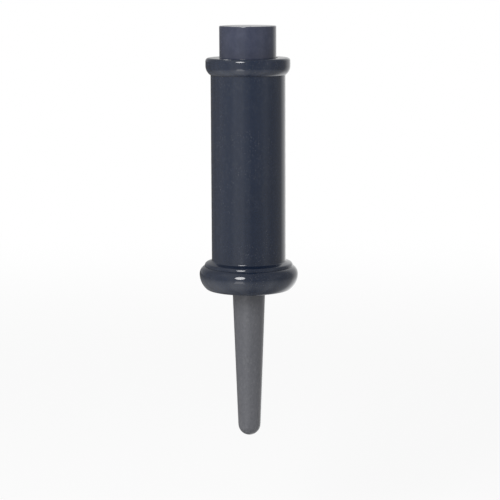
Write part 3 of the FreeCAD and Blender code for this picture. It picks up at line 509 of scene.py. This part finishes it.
def make_cup():
    """Valve cup with rounded bends, crimped from inside by a collet with eight jaws."""
    drop, sheet = 0.6, 0.4
    rim = levels("valve_cup")[0] + drop
    bead, curl_inside, curl_outside = (14.2, 2.3), 1.9, 2.3
    lip_inside, lip_outside, lip = 16.1, 16.5, 2.7
    outer, inner = 12.3, 11.9
    crimp, crimp_outer, crimp_inner = 4.8, 13.3, 12.73
    outer_rise, inner_rise = 1.0, 0.8
    floor_bend, raised_bend, top_bend = (11.0, 6.1), (6.5, 6.2), (5.1, 0.0)
    floor_round, raised_round, top_round = 0.9, 0.8, 0.2
    hole, raised_top, raised_under = 2.2, -0.6, -0.2
    jaws, jaw_depth, jaw_reach, raised_centre = 8, 0.55, 1.0, 11.5
    profile = [(lip_inside, lip), (lip_outside, lip)]
    profile += bend(bead, curl_outside, 0, -180, 24)
    profile += [(inner, crimp - inner_rise), (crimp_inner, crimp), (inner, crimp + inner_rise)]
    profile += bend(floor_bend, floor_round, 0, 90, 6)
    profile += bend(raised_bend, raised_round, 90, 180, 6)
    profile += bend(top_bend, top_round + sheet, 0, -90, 6)
    profile += [(hole, raised_top), (hole, raised_under)]
    profile += bend(top_bend, top_round, -90, 0, 4)
    profile += bend(raised_bend, raised_round + sheet, 180, 90, 6)
    profile += bend(floor_bend, floor_round + sheet, 90, 0, 6)
    profile += [(outer, crimp + outer_rise), (crimp_outer, crimp), (outer, crimp - outer_rise)]
    profile += bend(bead, curl_inside, 180, 360, 24)

    def collet(radius, level, angle):
        bulge = max(0.0, jaw_reach - abs(level - crimp)) if radius > raised_centre else 0.0
        gap = max(0.0, math.cos(jaws * angle)) ** 3
        return radius - jaw_depth * bulge * gap, level + rim

    points, faces = lathe(closer(profile, sheet), count=144, shape=collet)
    made = piece("valve_cup_crimped", points, faces, TINPLATE, "cartridge")
    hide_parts("valve_cup")


def make_point():
    """Needle's point, ground to three facets."""
    tip, top = levels("needle_point")
    needle, plug, point_length = 1.2, 0.73, 6.0
    facets_below, facets_run, facets_depth, step = 0.6, 1.5, 0.42, 0.15
    end = tip + point_length
    facets_high = end - facets_below
    third = 2 * math.pi / 3
    profile = [(0, tip), (needle, end), (plug, end), (plug, top), (0, top)]

    def facets(radius, level, angle):
        share = min(1.0, max(0.0, (facets_high - level) / facets_run))
        lean = abs((angle + third / 2) % third - third / 2)
        flat = radius * (1 - facets_depth * share)
        return min(radius, flat / math.cos(lean)), level

    points, faces = lathe(closer(profile, step), count=96, shape=facets)
    made = piece("needle_point_ground", points, faces, STEEL, "housing", crease=25)
    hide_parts("needle_point")


def make_seam(name, path, side, material, body, height):
    """Fine ridge where the mould's halves met, along a path of (radius, level) on the +X or -X side."""
    width, sunk = 0.16, -0.05
    section = [(-width, sunk), (-width / 2, height * 0.7), (0, height), (width / 2, height * 0.7),
               (width, sunk)]
    points, faces = [], []
    for radius, level in path:
        points += [(side * (radius + rise), across, level) for across, rise in section]
    count = len(section)
    for station in range(len(path) - 1):
        for index in range(count):
            corner = station * count + index
            following = station * count + (index + 1) % count
            faces.append((corner, following, following + count, corner + count))
    faces.append(tuple(range(count)))
    faces.append(tuple(range(len(points) - count, len(points))))
    piece(name, points, faces, material, body)


def make_seams():
    """Seams along the barrel and the guard, a little uneven as such flash is."""
    underside, seat = levels("base_flange")
    barrel_wall, barrel_top, barrel_low, barrel_waves = 22.95, -0.4, seat + 4.2, 0.012
    guard_mouth, guard_round, guard_reach, guard_waves = 10.2, 6.98, 93.9, 0.01
    guard_start, guard_run = 0.5, 86.0
    slope = (guard_mouth - guard_round) / (guard_reach - guard_round)
    steps = 60
    for side, word in ((1, "right"), (-1, "left")):
        barrel = []
        guard = []
        for step in range(steps + 1):
            depth = guard_start + guard_run * step / steps
            barrel.append((barrel_wall + barrel_waves * math.sin(step * 1.7 + side),
                           barrel_top - (barrel_top - barrel_low) * step / steps))
            guard.append((guard_mouth - slope * depth + guard_waves * math.sin(depth * 0.9 + side),
                          underside - depth))
        make_seam("barrel_seam_" + word, barrel, side, GLOSS, "housing", 0.05)
        make_seam("guard_seam_" + word, guard, side, GREY, "guard", 0.04)


def make_pin_marks():
    """Round marks that the ejector pins left on the flange's underside."""
    underside = levels("base_flange")[0]
    pins, circle, first = 4, 20.6, math.radians(45)
    sunk, flat, lip = 0.05, -0.02, -0.05
    rim, slope, lip_outside, lip_inside, pin = 1.7, 1.65, 1.5, 1.2, 1.1
    profile = [(0, sunk), (rim, sunk), (slope, flat), (lip_outside, lip), (lip_inside, lip), (pin, flat),
               (0, flat)]
    spot, spot_faces = lathe(profile, count=40)
    points, faces = [], []
    for index in range(pins):
        angle = first + 2 * math.pi * index / pins
        right, ahead = circle * math.cos(angle), circle * math.sin(angle)
        start = len(points)
        points += [(x + right, y + ahead, z + underside) for x, y, z in spot]
        faces += [[corner + start for corner in face] for face in spot_faces]
    piece("flange_pin_marks", points, faces, GLOSS, "housing")


def white_share(g):
    """1 for rays that show the background itself, directly or in a reflection."""
    path = g.node("ShaderNodeLightPath").outputs
    return g.most(g.most(path["Is Camera Ray"], path["Is Glossy Ray"]), path["Is Transmission Ray"])


def surroundings(g, across, depth):
    """Tone of the surroundings in the gloss, by level direction; depth points away.

    Paler on the left in front, dark behind on the left, bright behind on the right.
    """
    front = g.ramp(g.spread(across, -1.0, 1.0, smooth=False), FRONT_TONES)
    side = g.spread(across, -0.2, 0.2)
    behind = g.blend(side, g.ramp(depth, LEFT_TONES), g.ramp(depth, RIGHT_TONES))
    return g.blend(g.spread(depth, -0.1, 0.1), front, behind)


def painted_glint(g, x, y):
    """Share of the painted glint on the floor, a pale streak which runs towards the key light."""
    azimuth = math.radians(LIGHTS[0][1])
    right, ahead = math.sin(azimuth), -math.cos(azimuth)
    along = g.add(g.times(x, right), g.times(y, ahead))
    aside = g.math("ABSOLUTE", g.minus(g.times(x, ahead), g.times(y, right)))
    near, far = PAINTED_GLINT_REACH
    ends = g.times(g.spread(along, near, near * 1.3), g.spread(along, far, far * 0.8))
    return g.times(ends, g.spread(aside, PAINTED_GLINT_WIDTH, PAINTED_GLINT_WIDTH * 0.7))


def make_floor():
    """Pale round floor that keeps the shadow near the object, white further out, clear from below.

    In the object's gloss it shows painted tones of its surroundings, with painted light close by, painted
    shade under the object and a painted streak of the key light.
    """
    turns = [2 * math.pi * index / FLOOR_SIDES for index in range(FLOOR_SIDES)]
    ring = [(FLOOR_RADIUS * math.cos(turn), FLOOR_RADIUS * math.sin(turn), FLOOR_LEVEL) for turn in turns]
    mesh = bpy.data.meshes.new("floor")
    mesh.from_pydata(ring, [], [range(FLOOR_SIDES)])
    floor = linked("floor", mesh)
    material = bpy.data.materials.new("floor_white")
    material.use_nodes = True
    g = Graph(material.node_tree)
    g.nodes.clear()
    x, y = g.axes(g.place())[:2]
    distance = g.length(x, y)
    lit = g.spread(distance, *SHADOW_ZONE, 1 - SHADOW_SHARE, 1.0)
    tone = surroundings(g, g.math("DIVIDE", x, distance), g.math("DIVIDE", y, distance))
    # Painted light near the object and painted shade right under it, in the floor's tone for gloss
    tone = g.times(tone, g.spread(distance, *PAINTED_LIGHT_ZONE, PAINTED_LIGHT_GAIN, 1.0))
    tone = g.times(tone, g.spread(distance, *PAINTED_SHADE_ZONE, PAINTED_SHADE_TONE, 1.0))
    # Painted glint of the key light on the floor, seen in the object's gloss
    tone = g.add(tone, g.times(painted_glint(g, x, y), PAINTED_GLINT_TONE))
    glossy = g.node("ShaderNodeLightPath").outputs["Is Glossy Ray"]
    matt = g.node("ShaderNodeBsdfDiffuse")
    g.put(matt.inputs["Color"], rgb(FLOOR_COLOUR, FLOOR_COLOUR, FLOOR_COLOUR))
    white = g.node("ShaderNodeEmission")
    g.put(white.inputs["Strength"], g.blend(glossy, 1.0, tone))
    above = g.node("ShaderNodeMixShader")
    g.put(above.inputs[0], g.times(lit, white_share(g)))
    g.put(above.inputs[1], matt.outputs[0])
    g.put(above.inputs[2], white.outputs[0])
    surface = g.node("ShaderNodeMixShader")
    g.put(surface.inputs[0], g.node("ShaderNodeNewGeometry").outputs["Backfacing"])
    g.put(surface.inputs[1], above.outputs[0])
    g.put(surface.inputs[2], g.node("ShaderNodeBsdfTransparent").outputs[0])
    out = g.node("ShaderNodeOutputMaterial")
    g.put(out.inputs["Surface"], surface.outputs[0])
    mesh.materials.append(material)


def make_world():
    """Even fill for the object, white behind it, and soft tones for its gloss."""
    world = bpy.data.worlds.new("studio")
    bpy.context.scene.world = world
    world.use_nodes = True
    g = Graph(world.node_tree)
    g.nodes.clear()
    x, y = g.axes(g.node("ShaderNodeTexCoord").outputs["Generated"])[:2]
    path = g.node("ShaderNodeLightPath").outputs
    mirrored = g.times(path["Is Glossy Ray"], surroundings(g, x, y))
    white = g.most(path["Is Camera Ray"], path["Is Transmission Ray"])
    sky = g.node("ShaderNodeBackground")
    g.put(sky.inputs["Color"], rgb(1, 1, 1))
    g.put(sky.inputs["Strength"], g.most(g.most(mirrored, white), WORLD_FILL))
    out = g.node("ShaderNodeOutputWorld")
    g.put(out.inputs["Surface"], sky.outputs[0])


def make_light(name, azimuth, elevation, distance, size, radiance):
    """Softbox that faces the object from a direction given in degrees."""
    light = bpy.data.lights.new(name, "AREA")
    light.shape = "ELLIPSE"
    light.size, light.size_y = size
    area = math.pi / 4 * size[0] * size[1]
    light.energy = radiance * math.pi * area
    lamp = linked(name, light)
    lamp.visible_camera = False
    azimuth, elevation = math.radians(azimuth), math.radians(elevation)
    flat = distance * math.cos(elevation)
    offset = Vector((flat * math.sin(azimuth), -flat * math.cos(azimuth), distance * math.sin(elevation)))
    lamp.location = LIGHT_AIM + offset
    lamp.rotation_euler = (-offset).to_track_quat("-Z", "Y").to_euler()


def make_camera():
    """Camera a little above the object, tilted down."""
    data = bpy.data.cameras.new("camera")
    data.lens = CAMERA_LENS
    data.sensor_width = CAMERA_SENSOR
    data.clip_end = CAMERA_REACH
    camera = linked("camera", data)
    tilt = Matrix.Rotation(math.pi / 2 + CAMERA_PITCH, 4, "X")
    camera.matrix_world = Matrix.Translation(CAMERA_PLACE) @ tilt @ Matrix.Rotation(CAMERA_ROLL, 4, "Z")
    bpy.context.scene.camera = camera


make_shoulder()
make_hub()
make_cup()
make_point()
make_seams()
make_pin_marks()
make_floor()
make_world()
for light in LIGHTS:
    make_light(*light)
make_camera()
bpy.context.scene.view_settings.view_transform = "Standard"
